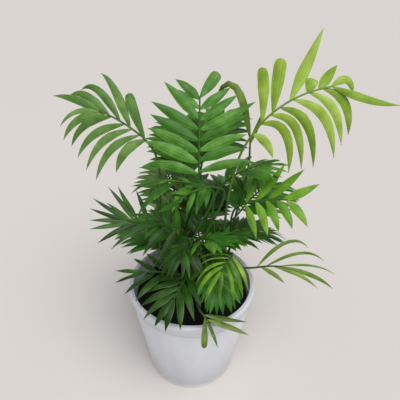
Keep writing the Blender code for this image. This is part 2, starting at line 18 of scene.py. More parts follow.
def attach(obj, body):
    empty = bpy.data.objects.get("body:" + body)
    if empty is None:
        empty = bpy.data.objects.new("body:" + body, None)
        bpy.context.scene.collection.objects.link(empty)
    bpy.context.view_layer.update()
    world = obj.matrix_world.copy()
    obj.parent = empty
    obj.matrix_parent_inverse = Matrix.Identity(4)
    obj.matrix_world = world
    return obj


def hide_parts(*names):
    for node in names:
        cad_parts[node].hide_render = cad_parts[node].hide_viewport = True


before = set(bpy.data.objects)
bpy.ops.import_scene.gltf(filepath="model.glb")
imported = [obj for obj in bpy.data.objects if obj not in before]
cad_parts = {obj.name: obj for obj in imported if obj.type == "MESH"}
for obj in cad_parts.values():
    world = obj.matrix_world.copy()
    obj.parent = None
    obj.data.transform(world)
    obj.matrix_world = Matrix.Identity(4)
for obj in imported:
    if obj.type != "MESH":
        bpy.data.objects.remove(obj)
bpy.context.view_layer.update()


# The pot
# A thin tapering shell, injection-moulded in white polypropylene, with a rolled lip, a shallow band below it
# and a groove above the foot. It stands on its flat underside and carries everything else.

POT_HEIGHT = 0.1405
RIM_RADIUS = 0.080
MOUTH_RADIUS = 0.0740
LIP_HEIGHT = 0.0090
LIP_ROUND = 0.0022
BAND_HEIGHT = 0.0175  # from the lip's top to the band's foot
BAND_STEP = 0.0005
FOOT_RADIUS = 0.0585
FLARE = 0.148  # how much wider the wall gets with height
FOOT_ROUND = 0.0025
WALL = 0.0030
FLOOR = 0.0040
POT_SIDES = 128
AXIS = 0.0001  # radius at the middle of the underside, where the skin closes
FOOT_STEPS = 6  # of the rounded edges' arcs
LIP_STEPS = 8
MOUTH_STEPS = 5
GROOVE_HEIGHT = 0.0062
GROOVE_DEPTH = 0.0006
GROOVE_HALF = 0.0009
LIP_CORNER = 0.0010  # where the lip's foot turns in
LIP_INSET = 0.0004
MOUTH_ROUND = 0.0014
FLOOR_SLOPE = 0.0030


def outer_radius(z):
    """The pot's tapering outer wall."""
    return FOOT_RADIUS + FLARE * z


def inner_radius(z):
    """The pot's inside, which runs straight from the floor's edge to the mouth."""
    low = outer_radius(FLOOR) - WALL
    return low + (MOUTH_RADIUS - low) * (z - FLOOR) / (POT_HEIGHT - FLOOR)


def arc(centre, radius, start, end, steps):
    """Points (r, z) on a circle's arc, angles in degrees."""
    angles = [math.radians(start + (end - start) * i / steps) for i in range(steps + 1)]
    return [(centre[0] + radius * math.cos(a), centre[1] + radius * math.sin(a)) for a in angles]


def groove(z):
    """Points (r, z) of a shallow groove round the wall."""
    return [
        (outer_radius(z - GROOVE_HALF), z - GROOVE_HALF),
        (outer_radius(z) - GROOVE_DEPTH, z),
        (outer_radius(z + GROOVE_HALF), z + GROOVE_HALF),
    ]


def pot_profile():
    """The shell's outline, from the middle of the underside up the outside and down the inside."""
    lip_foot = POT_HEIGHT - LIP_HEIGHT
    band_foot = POT_HEIGHT - BAND_HEIGHT
    outline = [(AXIS, 0)]
    outline += arc((FOOT_RADIUS - FOOT_ROUND, FOOT_ROUND), FOOT_ROUND, -90, 0, FOOT_STEPS)
    outline += groove(GROOVE_HEIGHT)
    outline += groove(band_foot - GROOVE_HALF)
    outline += [
        (outer_radius(band_foot) + BAND_STEP, band_foot + LIP_INSET),
        (outer_radius(lip_foot) + BAND_STEP, lip_foot - LIP_CORNER),
        (outer_radius(lip_foot) + BAND_STEP - LIP_INSET, lip_foot - LIP_INSET / 2),
        (RIM_RADIUS - LIP_INSET, lip_foot + LIP_INSET / 2),
        (RIM_RADIUS, lip_foot + LIP_CORNER),
    ]
    outline += arc((RIM_RADIUS - LIP_ROUND, POT_HEIGHT - LIP_ROUND), LIP_ROUND, 0, 90, LIP_STEPS)
    outline += arc((MOUTH_RADIUS + MOUTH_ROUND, POT_HEIGHT - MOUTH_ROUND), MOUTH_ROUND, 90, 180, MOUTH_STEPS)
    outline += [
        (inner_radius(FLOOR + FLOOR_SLOPE), FLOOR + FLOOR_SLOPE),
        (inner_radius(FLOOR) - FLOOR_SLOPE, FLOOR),
    ]
    return outline + [(AXIS, FLOOR)]


def turned(profile, sides):
    """(points, faces) of a skin of revolution from (radius, height) points, in the profile's order."""
    points, faces = [], []
    for r, z in profile:
        for k in range(sides):
            a = 2 * math.pi * k / sides
            points.append((r * math.cos(a), r * math.sin(a), z))
    for i in range(len(profile) - 1):
        for k in range(sides):
            a, b = i * sides + k, i * sides + (k + 1) % sides
            faces.append((a, b, b + sides, a + sides))
    return points, faces


def colour(code):
    """Linear RGBA from an sRGB hex code."""
    channels = [int(code[i:i + 2], 16) / 255 for i in (0, 2, 4)]
    return (*[c / 12.92 if c <= 0.04045 else ((c + 0.055) / 1.055) ** 2.4 for c in channels], 1)


def new_material(name, roughness, specular=0.5):
    """(material, its nodes' tree, its Principled shader)."""
    made = bpy.data.materials.new(name)
    made.use_nodes = True
    shader = made.node_tree.nodes["Principled BSDF"]
    shader.inputs["Roughness"].default_value = roughness
    shader.inputs["Specular IOR Level"].default_value = specular
    return made, made.node_tree, shader


def add_node(tree, kind, settings=(), stops=(), **inputs):
    """A shader node with its settings and colour stops. An input is set to a value or linked to a socket."""
    node = tree.nodes.new("ShaderNode" + kind)
    for key, value in dict(settings).items():
        setattr(node, key, value)
    for i, (position, code) in enumerate(stops):
        if i >= len(node.color_ramp.elements):
            node.color_ramp.elements.new(1.0)
        node.color_ramp.elements[i].position = position
        node.color_ramp.elements[i].color = colour(code)
    for key, value in inputs.items():
        socket = node.inputs[int(key[1:])] if key[1:].isdigit() else node.inputs[key.replace("_", " ")]
        if isinstance(value, bpy.types.NodeSocket):
            tree.links.new(value, socket)
        else:
            socket.default_value = value
    return node


def mesh_of(name, points, faces):
    """A mesh of these points and faces."""
    mesh = bpy.data.meshes.new(name)
    mesh.from_pydata(points, [], faces)
    mesh.update()
    return mesh


def piece(name, mesh, finish, slot, *nodes):
    """A shown piece that rides on the part and takes the place of these nodes."""
    made = bpy.data.objects.new(name, mesh)
    bpy.context.scene.collection.objects.link(made)
    mesh.materials.append(finish)
    mesh.shade_smooth()
    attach(made, "root")
    if nodes:
        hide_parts(*nodes)


WALL_WAVES_AND_SHEEN = (38.0, 38.0, 7.0)  # to the metre, about 26 mm wide and 140 mm tall, for the wall's waves and its painted sheen
SCUFFS = 160.0  # to the metre, about 6 mm each: real ones are finer, and would not show


# Injection-moulded polypropylene: satin white, with the soft upright waves of a thin wall and fine scuffs;
# the same waves streak its white lighter and darker, a painted sheen
def polypropylene():
    made, tree, shader = new_material("white_polypropylene", 0.35, 0.45)
    place = add_node(tree, "TexCoord").outputs["Object"]
    upright = add_node(tree, "Mapping", Vector=place, Scale=WALL_WAVES_AND_SHEEN)
    wave = add_node(tree, "TexNoise", Vector=upright.outputs["Vector"], Scale=1.0, Detail=2.0).outputs["Fac"]
    # painted sheen: the waves make the white lighter and darker in soft upright streaks
    tone = add_node(tree, "ValToRGB", stops=((0.30, "D1D4DA"), (0.70, "DEE1E7")), Fac=wave)
    tree.links.new(tone.outputs["Color"], shader.inputs["Base Color"])
    scuff = add_node(tree, "TexNoise", Vector=place, Scale=SCUFFS, Detail=6.0).outputs["Fac"]
    rough = add_node(tree, "MapRange", Value=scuff, To_Min=0.26, To_Max=0.44)
    tree.links.new(rough.outputs["Result"], shader.inputs["Roughness"])
    bump = add_node(tree, "Bump", Height=wave, Strength=0.25, Distance=0.0015)
    tree.links.new(bump.outputs["Normal"], shader.inputs["Normal"])
    return made


pot_mesh = mesh_of("pot_shell", *turned(pot_profile(), POT_SIDES))
piece("pot_shell", pot_mesh, polypropylene(), "white_plastic", "pot")


# The potting mix
# Loose dark peat with bark crumbs, poured in round the roots. It fills the pot to 20 mm below the lip.

UP = Vector((0, 0, 1))
GAP = 0.0003  # between pieces that touch
SEED = 11
MIX_BELOW_RIM = 0.020
MIX_LEVEL = POT_HEIGHT - MIX_BELOW_RIM
MIX_RINGS = 60
MIX_SIDES = 180
MIX_SKIRT = 0.012
MIX_WAVES = ((0.0022, 35), (0.0016, 140), (0.0007, 420))  # (height, how many to the metre)
CRUMB_COUNT = 420
CRUMB_SIZES = (0.0010, 0.0032)
CRUMB_SKEW = (0.6, 1.2)  # how far a crumb's corners lie in or out
CRUMB_FACES = ((0, 1, 3, 2), (4, 6, 7, 5), (0, 4, 5, 1), (2, 3, 7, 6), (0, 2, 6, 4), (1, 5, 7, 3))


def mix_height(x, y):
    """The mix's surface: soft hollows, and clods of a few millimetres."""
    here = Vector((x, y, 0))
    return MIX_LEVEL + sum(height * noise.noise(here * scale) for height, scale in MIX_WAVES)


def mix_skin():
    """A lumpy disc that ends against the pot's inside, with a short skirt down the wall."""
    edge, low = inner_radius(MIX_LEVEL) - GAP, inner_radius(MIX_LEVEL - MIX_SKIRT) - GAP
    rings = [(AXIS + (edge - AXIS) * i / MIX_RINGS, 0) for i in range(MIX_RINGS + 1)] + [(low, 1)]
    points, faces = turned(rings, MIX_SIDES)
    return [(x, y, MIX_LEVEL - MIX_SKIRT if skirt else mix_height(x, y)) for x, y, skirt in points], faces


def crumbs():
    """Angular crumbs that lie half sunk in the mix."""
    chance = random.Random(SEED)
    points, faces = [], []
    for _ in range(CRUMB_COUNT):
        r = (inner_radius(MIX_LEVEL) - CRUMB_SIZES[1]) * math.sqrt(chance.random())
        a = chance.uniform(0, 2 * math.pi)
        size = chance.uniform(*CRUMB_SIZES)
        middle = Vector((r * math.cos(a), r * math.sin(a), mix_height(r * math.cos(a), r * math.sin(a))))
        first = len(points)
        for corner in product((-1, 1), repeat=3):
            points.append(middle + Vector([v * size / 2 * chance.uniform(*CRUMB_SKEW) for v in corner]))
        faces += [tuple(first + k for k in face) for face in CRUMB_FACES]
    return points, faces


CLODS = 420.0  # to the metre, about 2.4 mm each
FIBRES = 900.0  # to the metre, about 1.1 mm each


# Damp peat: nearly black and matt, with browner fibres and clods
def peat():
    made, tree, shader = new_material("damp_peat", 0.95, 0.3)
    place = add_node(tree, "TexCoord").outputs["Object"]
    clods = add_node(tree, "TexVoronoi", Vector=place, Scale=CLODS)
    fibres = add_node(tree, "TexNoise", Vector=place, Scale=FIBRES, Detail=8.0).outputs["Fac"]
    browns = ((0.30, "0F0C0B"), (0.55, "1C1714"), (0.80, "3A2F27"))
    tone = add_node(tree, "ValToRGB", stops=browns, Fac=fibres)
    tree.links.new(tone.outputs["Color"], shader.inputs["Base Color"])
    bump = add_node(tree, "Bump", Height=clods.outputs["Distance"], Strength=0.8, Distance=0.0012)
    tree.links.new(bump.outputs["Normal"], shader.inputs["Normal"])
    return made


damp_peat = peat()
piece("mix_surface", mesh_of("mix_surface", *mix_skin()), damp_peat, "potting_mix", "potting_mix")
piece("mix_crumbs", mesh_of("mix_crumbs", *crumbs()), damp_peat, "potting_mix")


# The canes
# Slender green stems that stand in the mix, ringed by the scars of old leaf bases. The stalks grow from
# their sides.

CANE_COUNT = 9
CLUMP_RADIUS = 0.036
CANE_HEIGHTS = (0.050, 0.085)
CANE_FOOT_RADIUS = 0.0044
CANE_TIP_RADIUS = 0.0030
CANE_LEAN = math.radians(9)
CANE_PARTS = 2
CANE_ROUND = 1  # the curve's bevel resolution, which gives 6 sides
GOLDEN_ANGLE = math.pi * (3 - math.sqrt(5))
HEIGHT_STRIDE = 4  # from cane to cane, so that neighbours differ in height
WELD = 0.00001


@dataclass
class Cane:
    foot: Vector
    along: Vector
    height: float

    def point(self, share):
        return self.foot + self.along * self.height * share

    def radius(self, share):
        flare = CANE_FOOT_RADIUS - CANE_TIP_RADIUS
        return CANE_TIP_RADIUS + flare * (1 - share) ** 2


def cane_rows():
    """The canes, the first in the middle and each further out on a spiral, leaning outwards."""
    low, high = CANE_HEIGHTS
    for i in range(CANE_COUNT):
        spread = math.sqrt(i / CANE_COUNT)
        angle = i * GOLDEN_ANGLE
        out = Vector((math.cos(angle), math.sin(angle), 0))
        lean = CANE_LEAN * spread
        yield Cane(
            foot=out * CLUMP_RADIUS * spread + UP * (MIX_LEVEL + GAP),
            along=(UP * math.cos(lean) + out * math.sin(lean)).normalized(),
            height=low + (high - low) * ((i * HEIGHT_STRIDE) % CANE_COUNT) / (CANE_COUNT - 1),
        )


def tube(line, radii, roundness):
    """(points, faces) of a closed tube along a line of points: a bevelled curve, its caps welded on."""
    curve = bpy.data.curves.new("tube", "CURVE")
    curve.dimensions = "3D"
    curve.bevel_depth = 1
    curve.bevel_resolution = roundness
    curve.use_fill_caps = True
    spline = curve.splines.new("POLY")
    spline.points.add(len(line) - 1)
    for point, here, radius in zip(spline.points, line, radii):
        point.co = (*here, 1)
        point.radius = radius
    path = bpy.data.objects.new("tube", curve)
    welded = bmesh.new()
    welded.from_mesh(bpy.data.meshes.new_from_object(path))
    bmesh.ops.remove_doubles(welded, verts=welded.verts, dist=WELD)
    points = [vert.co.copy() for vert in welded.verts]
    faces = [tuple(vert.index for vert in face.verts) for face in welded.faces]
    welded.free()
    bpy.data.objects.remove(path)
    return points, faces


def cane_shape(cane):
    """A straight tapering cane whose foot is cut level with the mix."""
    shares = [i / CANE_PARTS for i in range(CANE_PARTS + 1)]
    points, faces = tube([cane.point(t) for t in shares], [cane.radius(t) for t in shares], CANE_ROUND)
    for p in points:
        if (p - cane.foot).dot(cane.along) < cane.height / (2 * CANE_PARTS):
            p -= cane.along * ((p.z - cane.foot.z) / cane.along.z)
    return points, faces


CANE_FINE_PARTS = 60
CANE_FINE_ROUND = 6
CANE_FINE_SHARE = 0.97  # of the solid's radius, between two rings
RING_GAP = 0.0095
RING_SWELL = 0.10
RING_SHARE = 8  # a ring takes up a quarter of the gap


def fine_cane(cane):
    """The same cane with a swollen ring where each old leaf base was."""
    line, radii = [], []
    for i in range(CANE_FINE_PARTS + 1):
        t = i / CANE_FINE_PARTS
        from_ring = abs((t * cane.height / RING_GAP) % 1 - 0.5)
        line.append(cane.point(t))
        radii.append(cane.radius(t) * CANE_FINE_SHARE * (1 + RING_SWELL * max(0, 1 - from_ring * RING_SHARE)))
    return tube(line, radii, CANE_FINE_ROUND)


def joined(shapes):
    """(points, faces) of many shapes in one."""
    points, faces = [], []
    for more_points, more_faces in shapes:
        first = len(points)
        points += more_points
        faces += [tuple(first + k for k in face) for face in more_faces]
    return points, faces


CANE_FIBRES = (900.0, 900.0, 60.0)  # to the metre, about 1.1 mm wide and 17 mm long


# Young palm cane: dark green and satin, with paler fibres that run lengthwise
def cane_skin():
    made, tree, shader = new_material("green_cane", 0.55, 0.35)
    place = add_node(tree, "TexCoord").outputs["Object"]
    along = add_node(tree, "Mapping", Vector=place, Scale=CANE_FIBRES)
    fibres = add_node(tree, "TexNoise", Vector=along.outputs["Vector"], Scale=1.0, Detail=5.0).outputs["Fac"]
    greens = ((0.30, "20300F"), (0.60, "3A5020"), (0.80, "6A7640"))
    tone = add_node(tree, "ValToRGB", stops=greens, Fac=fibres)
    tree.links.new(tone.outputs["Color"], shader.inputs["Base Color"])
    bump = add_node(tree, "Bump", Height=fibres, Strength=0.5, Distance=0.0004)
    tree.links.new(bump.outputs["Normal"], shader.inputs["Normal"])
    return made


canes = list(cane_rows())
piece("canes", mesh_of("canes", *joined(fine_cane(cane) for cane in canes)), cane_skin(), "cane_bark",
      *[f"cane_{i + 1}" for i in range(CANE_COUNT)])


# The fronds
# Each is a bare petiole that clasps its cane, then a rib with soft narrow leaflets on both sides. The
# leaflets are living leaf, thin and satin, and hang by their roots from the rib.

# The stalks: a petiole with a sheath at its foot, and then the rib of the blade
SHEATH_RADIUS = 0.0025
PETIOLE_RADIUS = 0.0015
RIB_RADIUS = 0.0012
RIB_TIP_RADIUS = 0.0009
PETIOLE_STEPS = 6
RIB_STEPS = 4
STALK_ROUND = 0  # 4 sides
SLOT_TURNS = (0, 25, -25, 50, -50, 80, -80, 115, -115, 150, -150, 180)
SLOT_SHARES = (0.90, 0.62, 0.34, 0.76, 0.48, 0.20)
SEATS = (0.72, 0.86, 1.0)  # of the sheath's radius, from its middle to the cane: the closest that fits
NEAREST_CANES = 4  # that a frond may stand on
AIM_SHARE = 0.7  # of the frond's reach within the clump, where its cane is looked for
LEAVING = 0.40  # of the petiole's span, how far it runs on as it leaves its cane
ARRIVING = 0.26  # and how far it runs straight before the blade
STALK_NUDGES = ((0, 0), (3, 0), (-3, 0), (0, 0.006), (0, -0.006), (6, 0.006), (-6, -0.006), (9, 0), (-9, 0))

# The leaflets: a flat blade with a keel below, widest before the middle
POINTED_STATIONS = (0.28, 0.66, 1.0)
BLUNT_STATIONS = (0.36, 0.88, 1.0)
BLUNT = 0.3
LEAF_THICKNESS_SHARE = 0.0105
LEAST_THICKNESS = 0.0008
TOP_SHARE = 0.4  # of the thickness, above the leaflet's line; the keel has the rest
CLEARANCE = 0.0004
END_SWEEP = 13
ROOT_SINK = 0.0015
LEFT, RIGHT = 1, -1


@dataclass
class Leaflet:
    """One leaflet of a frond. Angles are in degrees, and lengths in metres."""

    at: float  # share of the rib, from the blade's foot to its tip
    side: int  # LEFT or RIGHT, seen along the rib from above
    length: float
    sweep: float  # between the leaflet and the rib's forward direction
    droop: float = 0.5  # how far gravity bends it down
    width: float = 0.011
    lift: float = 12  # out of the blade's plane, towards its upper face
    taper: float = 0.9  # the higher, the longer the drawn-out tip


@dataclass
class Frond:
    """One frond, placed by the tip of its rib. Azimuths run from +X towards +Y, in degrees."""

    azimuth: float
    reach: float  # of the rib's tip, from the pot's axis
    height: float  # of the rib's tip, above the floor
    rib: float  # length of the blade's rib
    slope: float = 20  # the rib's rise at its tip
    arch: float = 35  # how much steeper the rib is at the blade's foot
    heading: float = None  # where the rib points, if not straight outwards
    turn: float = 0  # of the blade about its rib, left side up
    pairs: int = 6
    sweeps: tuple = (66, 34)  # of the leaflets at the blade's foot and near its tip
    leaf: float = 0.065  # length of its longest leaflet
    width: float = 0.0105
    droop: float = 0.5
    lift: float = 12
    rise: float = 80  # of the petiole, where it leaves its cane
    tint: str = "mid"
    own: tuple = ()  # leaflets set one by one, in place of the rule


def leaflet_row(side, *rows, lift=4):
    """Leaflets of one side, from rows of (share of the rib, length mm, sweep, droop, width mm, taper)."""
    return tuple(
        Leaflet(at, side, length / 1000, sweep, droop, width / 1000, lift, *taper)
        for at, length, sweep, droop, width, *taper in rows
    )


FRONDS = {
    # The pale young frond that stands out over the right side, its face to the viewer
    "frond_right_high": Frond(
        -4, 0.133, 0.393, rib=0.093, slope=14, arch=48, heading=-13, turn=62, tint="young", rise=86,
        own=leaflet_row(
            LEFT,
            (0.18, 55, 48, 0.0, 12, BLUNT),
            (0.34, 53, 45, 0.0, 13, BLUNT),
            (0.56, 71, 39, 0.0, 12),
            (0.76, 14, 55, 0.2, 12, BLUNT),
            (0.87, 27, 40, 0.1, 10),
            (1.00, 30, 34, 2.2, 8),
        ) + leaflet_row(
            RIGHT,
            (0.02, 34, 60, 1.6, 10),
            (0.17, 66, 28, 4.6, 10),
            (0.31, 72, 27, 4.4, 10),
            (0.44, 75, 33, 3.9, 10),
            (0.60, 75, 30, 2.9, 10),
            (0.77, 64, 28, 3.0, 9),
            (0.91, 54, 28, 3.2, 9),
            (1.00, 62, 40, -0.3, 8),
        ),
    ),
    # The darker frond that reaches out to the left
    "frond_left_high": Frond(
        168, 0.100, 0.356, rib=0.056, slope=17, arch=24, turn=-60, tint="dusky", rise=84,
        own=leaflet_row(
            RIGHT,
            (0.02, 50, 32, 0.0, 11, BLUNT),
            (0.36, 66, 35, 0.6, 10),
            (0.58, 64, 30, 1.0, 9),
            (0.80, 58, 24, 1.0, 9),
            (0.97, 55, 2, 0.3, 9),
        ) + leaflet_row(
            LEFT,
            (0.00, 50, 56, 1.8, 11),
            (0.14, 75, 44, 2.2, 9),
            (0.32, 73, 40, 1.9, 9),
            (0.48, 67, 37, 1.4, 9),
            (0.76, 58, 34, 1.3, 9),
            (0.88, 58, 28, 1.2, 9),
            (1.00, 50, 18, 1.0, 6),
        ),
    ),
    # The broad frond that rises through the middle, and the young one beside it, still half closed
    "frond_centre": Frond(
        76, 0.032, 0.369, rib=0.082, slope=50, arch=16, heading=90, tint="deep", rise=88,
        own=leaflet_row(
            LEFT,
            (0.98, 34, 46, 0.2, 11),
            (0.86, 40, 52, 0.2, 11),
            (0.72, 54, 44, 0.0, 12),
            (0.58, 58, 58, 0.1, 12.5),
            (0.44, 58, 60, 0.1, 13),
            (0.30, 59, 61, 0.2, 13),
            (0.16, 62, 62, 0.3, 13),
            (0.02, 64, 66, 0.7, 11),
        ) + leaflet_row(
            RIGHT,
            (1.00, 34, 34, 0.0, 13, BLUNT),
            (0.85, 40, 52, 0.1, 11),
            (0.71, 48, 54, 0.1, 11),
            (0.58, 65, 63, 0.0, 12),
            (0.45, 58, 60, 0.1, 12.5),
            (0.32, 52, 66, 0.2, 12.5),
            (0.19, 50, 66, 0.4, 12.5),
            (0.05, 62, 68, 0.5, 10),
        ),
    ),
    "frond_young_spear": Frond(
        18, 0.066, 0.328, rib=0.020, slope=80, arch=4, heading=100, tint="olive", rise=84,
        own=leaflet_row(LEFT, (1.0, 84, 8, 1.25, 9)) + leaflet_row(RIGHT, (0.7, 42, 20, 0.2, 5)),
    ),
    # The middle of the crown
    "frond_left_middle": Frond(
        -153, 0.074, 0.253, rib=0.056, slope=8, arch=16, turn=-50, heading=-168, tint="dark", rise=60,
        own=leaflet_row(
            RIGHT,
            (0.22, 32, 80, 0.0, 6.5),
            (0.42, 30, 74, 0.0, 6),
            (0.66, 37, 64, 0.0, 5.5),
            (0.84, 44, 56, 0.0, 6),
            (0.92, 46, 50, 0.0, 5.5),
            (0.96, 34, 34, 0.0, 4.5),
            (1.00, 46, 30, 0.0, 5),
            (1.00, 44, 16, 0.0, 5),
        ) + leaflet_row(
            LEFT,
            (1.00, 42, 0, 0.0, 5.5),
            (0.97, 44, 10, 0.1, 6),
            (0.80, 50, 25, 0.2, 6.5),
            (0.52, 54, 28, 0.4, 6),
            (0.24, 44, 46, 0.7, 7),
            (0.06, 44, 62, 0.8, 7),
        ),
    ),
    "frond_right_middle": Frond(
        -20, 0.105, 0.284, rib=0.052, slope=10, arch=24, heading=-26, turn=44, tint="young", rise=74,
        own=leaflet_row(
            LEFT,
            (0.10, 36, 62, 0.0, 8),
            (0.34, 50, 44, 0.0, 9.5),
            (0.62, 48, 38, 0.0, 9.5),
            (0.92, 40, 25, 0.0, 10),
        ) + leaflet_row(
            RIGHT,
            (1.00, 35, 34, 0.8, 9.5),
            (0.80, 35, 46, 0.8, 9.5),
            (0.58, 37, 56, 0.8, 9.5),
            (0.34, 40, 60, 0.9, 9.5),
            (0.08, 42, 62, 1.0, 9),
        ),
    ),
    "frond_right_inner": Frond(
        4, 0.072, 0.300, rib=0.042, slope=14, arch=30, pairs=3, leaf=0.048, droop=0.6, tint="deep",
    ),
    "frond_left_inner": Frond(
        -140, 0.034, 0.296, rib=0.046, slope=0, arch=26, heading=-172, tint="mid",
        own=leaflet_row(
            LEFT,
            (0.10, 44, 66, 0.8, 9),
            (0.42, 54, 60, 0.5, 10),
            (0.82, 56, 38, 1.0, 10),
        ) + leaflet_row(
            RIGHT,
            (0.12, 54, 60, 0.7, 9),
            (0.45, 60, 44, 1.0, 9),
            (0.74, 50, 32, 2.0, 6),
            (1.00, 44, 8, 1.0, 8),
        ),
    ),
    "frond_front_pale": Frond(
        -100, 0.060, 0.297, rib=0.038, slope=-32, arch=44, heading=-158, tint="mid",
        own=leaflet_row(LEFT, (0.20, 24, 60, 1.2, 6), (0.60, 26, 46, 1.4, 7), (1.00, 26, 20, 2.4, 8))
        + leaflet_row(RIGHT, (0.30, 26, 60, 0.6, 7), (0.65, 30, 46, 0.4, 8), (1.00, 28, 10, 0.2, 7)),
    ),
    "frond_front_middle": Frond(
        -98, 0.044, 0.218, rib=0.040, slope=-4, arch=26, heading=-104, pairs=5, leaf=0.044, width=0.0075,
        droop=1.3, tint="dark",
    ),
    # The low fronds that hang over the rim
    "frond_front_right_low": Frond(
        -68, 0.084, 0.224, rib=0.026, slope=-14, arch=20, heading=-118, tint="lime", rise=74,
        own=leaflet_row(
            LEFT,
            (0.05, 42, 58, 1.8, 5.5),
            (0.35, 44, 56, 2.4, 5.5),
            (0.65, 44, 46, 2.8, 4),
            (0.95, 34, 20, 2.0, 4.5),
        ) + leaflet_row(
            RIGHT,
            (0.05, 50, 76, 1.3, 3.5),
            (0.25, 46, 68, 1.7, 4),
            (0.50, 46, 58, 2.2, 5),
            (0.75, 46, 44, 2.6, 5.5),
            (1.00, 38, 16, 2.2, 5.5),
        ),
    ),
    "frond_front_right_under": Frond(
        -64, 0.070, 0.183, rib=0.045, slope=-20, arch=20, heading=-72, pairs=5, leaf=0.040, width=0.009,
        droop=1.2, tint="mid", rise=70,
    ),
    "frond_front_left_low": Frond(
        -103, 0.078, 0.182, rib=0.043, slope=-14, arch=20, heading=-112, tint="dark", rise=70,
        own=leaflet_row(
            LEFT,
            (0.22, 42, 52, 0.6, 9),
            (0.46, 46, 40, 0.8, 9),
            (0.72, 44, 26, 0.9, 9),
            (1.00, 36, 4, 1.2, 9),
        ) + leaflet_row(
            RIGHT,
            (0.20, 44, 64, 0.5, 9),
            (0.42, 48, 56, 0.5, 9),
            (0.62, 48, 48, 0.6, 9),
            (0.82, 46, 38, 0.8, 9),
            (1.00, 36, 20, 1.0, 9),
        ),
    ),
    "frond_left_low": Frond(
        -145, 0.066, 0.186, rib=0.042, slope=-4, arch=18, heading=-178, tint="dark", rise=70,
        own=leaflet_row(
            LEFT,
            (0.12, 46, 60, 0.5, 9),
            (0.42, 50, 50, 0.5, 9),
            (0.72, 44, 40, 0.5, 9),
            (1.00, 36, 16, 0.4, 8),
        ) + leaflet_row(
            RIGHT,
            (0.10, 46, 60, 0.3, 9),
            (0.38, 46, 52, 0.3, 9),
            (0.66, 42, 42, 0.3, 8),
            (0.95, 40, 14, 0.3, 8),
        ),
    ),
    "frond_right_low": Frond(
        -6, 0.110, 0.174, rib=0.032, slope=0, arch=18, turn=62, tint="olive", rise=60,
        own=leaflet_row(
            LEFT,
            (0.10, 78, 40, 1.2, 5),
            (0.45, 78, 28, 1.1, 4.5),
            (0.90, 72, 10, 0.7, 3),
        ) + leaflet_row(
            RIGHT,
            (0.95, 74, 6, 0.7, 6),
            (0.70, 62, 16, 0.5, 5),
            (0.25, 36, 30, 0.6, 6),
        ),
    ),
    "frond_rim": Frond(
        -78, 0.088, 0.162, rib=0.012, slope=-24, arch=12, heading=-52, tint="mid", rise=62,
        own=leaflet_row(RIGHT, (0.80, 32, 38, 1.0, 7, BLUNT), (1.00, 32, 6, 1.0, 4.5))
        + leaflet_row(LEFT, (1.00, 50, 44, 0.3, 7), (0.50, 48, 48, 0.0, 6.5)),
    ),
}

# The crown's back and inside, by tiers: (name, azimuths, reach, height, rib, slope, leaf)
TIERS = (
    ("frond_top_back", (66, 102), 0.075, 0.312, 0.060, 16, 0.050),
    ("frond_middle_back", (34, 62, 88, 110), 0.104, 0.245, 0.066, 0, 0.056),
    ("frond_low_back", (24, 52, 82, 112, 146), 0.098, 0.172, 0.056, -20, 0.050),
    ("frond_inner", (-48, 8, 62, 130, 178), 0.048, 0.220, 0.044, 20, 0.040),
)
TIER_TINTS = ("mid", "deep", "dark", "dusky")


def tier_fronds():
    """The fronds of the tiers, each a little unlike the next."""
    chance = random.Random(SEED)
    made = {}
    for name, azimuths, reach, height, rib, slope, leaf in TIERS:
        for i, azimuth in enumerate(azimuths):
            made[f"{name}_{i + 1}"] = Frond(
                azimuth + chance.uniform(-6, 6),
                reach * chance.uniform(0.88, 1.12),
                height * chance.uniform(0.93, 1.07),
                rib,
                slope + chance.uniform(-8, 8),
                heading=azimuth + chance.uniform(-15, 15),
                leaf=leaf,
                turn=chance.uniform(-14, 14),
                tint=TIER_TINTS[i % len(TIER_TINTS)],
            )
    return made


# The fronds' lines

def bezier(a, b, c, d, t):
    """A point on the cubic curve from a to d, with b and c as its handles."""
    s = 1 - t
    return a * s**3 + b * 3 * s * s * t + c * 3 * s * t * t + d * t**3


def direction(azimuth, rise):
    """The unit vector at these angles, in degrees."""
    a, e = math.radians(azimuth), math.radians(rise)
    return Vector((math.cos(a) * math.cos(e), math.sin(a) * math.cos(e), math.sin(e)))


def rib_line(frond):
    """Points along the rib from the blade's foot to its tip, worked back from the tip."""
    heading = frond.azimuth if frond.heading is None else frond.heading
    points = [direction(frond.azimuth, 0) * frond.reach + UP * frond.height]
    for i in range(RIB_STEPS):
        rise = frond.slope + frond.arch * (i + 0.5) / RIB_STEPS
        points.append(points[-1] - direction(heading, rise) * frond.rib / RIB_STEPS)
    return points[::-1]


def stalk_line(frond, foot, out_angle):
    """Points from the foot on the cane to the rib's tip."""
    rib = rib_line(frond)
    span = (rib[0] - foot).length
    b = foot + direction(out_angle, frond.rise) * span * LEAVING
    c = rib[0] - (rib[1] - rib[0]).normalized() * span * ARRIVING
    petiole = [bezier(foot, b, c, rib[0], i / PETIOLE_STEPS) for i in range(PETIOLE_STEPS)]
    return petiole + rib


def stalk_radii():
    """The stalk's radius at each point of its line."""
    petiole, rib = RIB_RADIUS - PETIOLE_RADIUS, RIB_TIP_RADIUS - RIB_RADIUS
    radii = [SHEATH_RADIUS]
    radii += [PETIOLE_RADIUS + petiole * i / PETIOLE_STEPS for i in range(1, PETIOLE_STEPS)]
    return radii + [RIB_RADIUS + rib * i / RIB_STEPS for i in range(RIB_STEPS + 1)]


def along_line(line, share):
    """(point, direction) at a share of a line's points."""
    place_at = min(max(share, 0.0), 1.0) * (len(line) - 1)
    i = min(int(place_at), len(line) - 2)
    point = line[i].lerp(line[i + 1], place_at - i)
    before, after = max(i - 1, 0), min(i + 2, len(line) - 1)
    first = (line[i + 1] - line[before]).normalized()
    second = (line[after] - line[i]).normalized()
    return point, first.lerp(second, place_at - i).normalized()


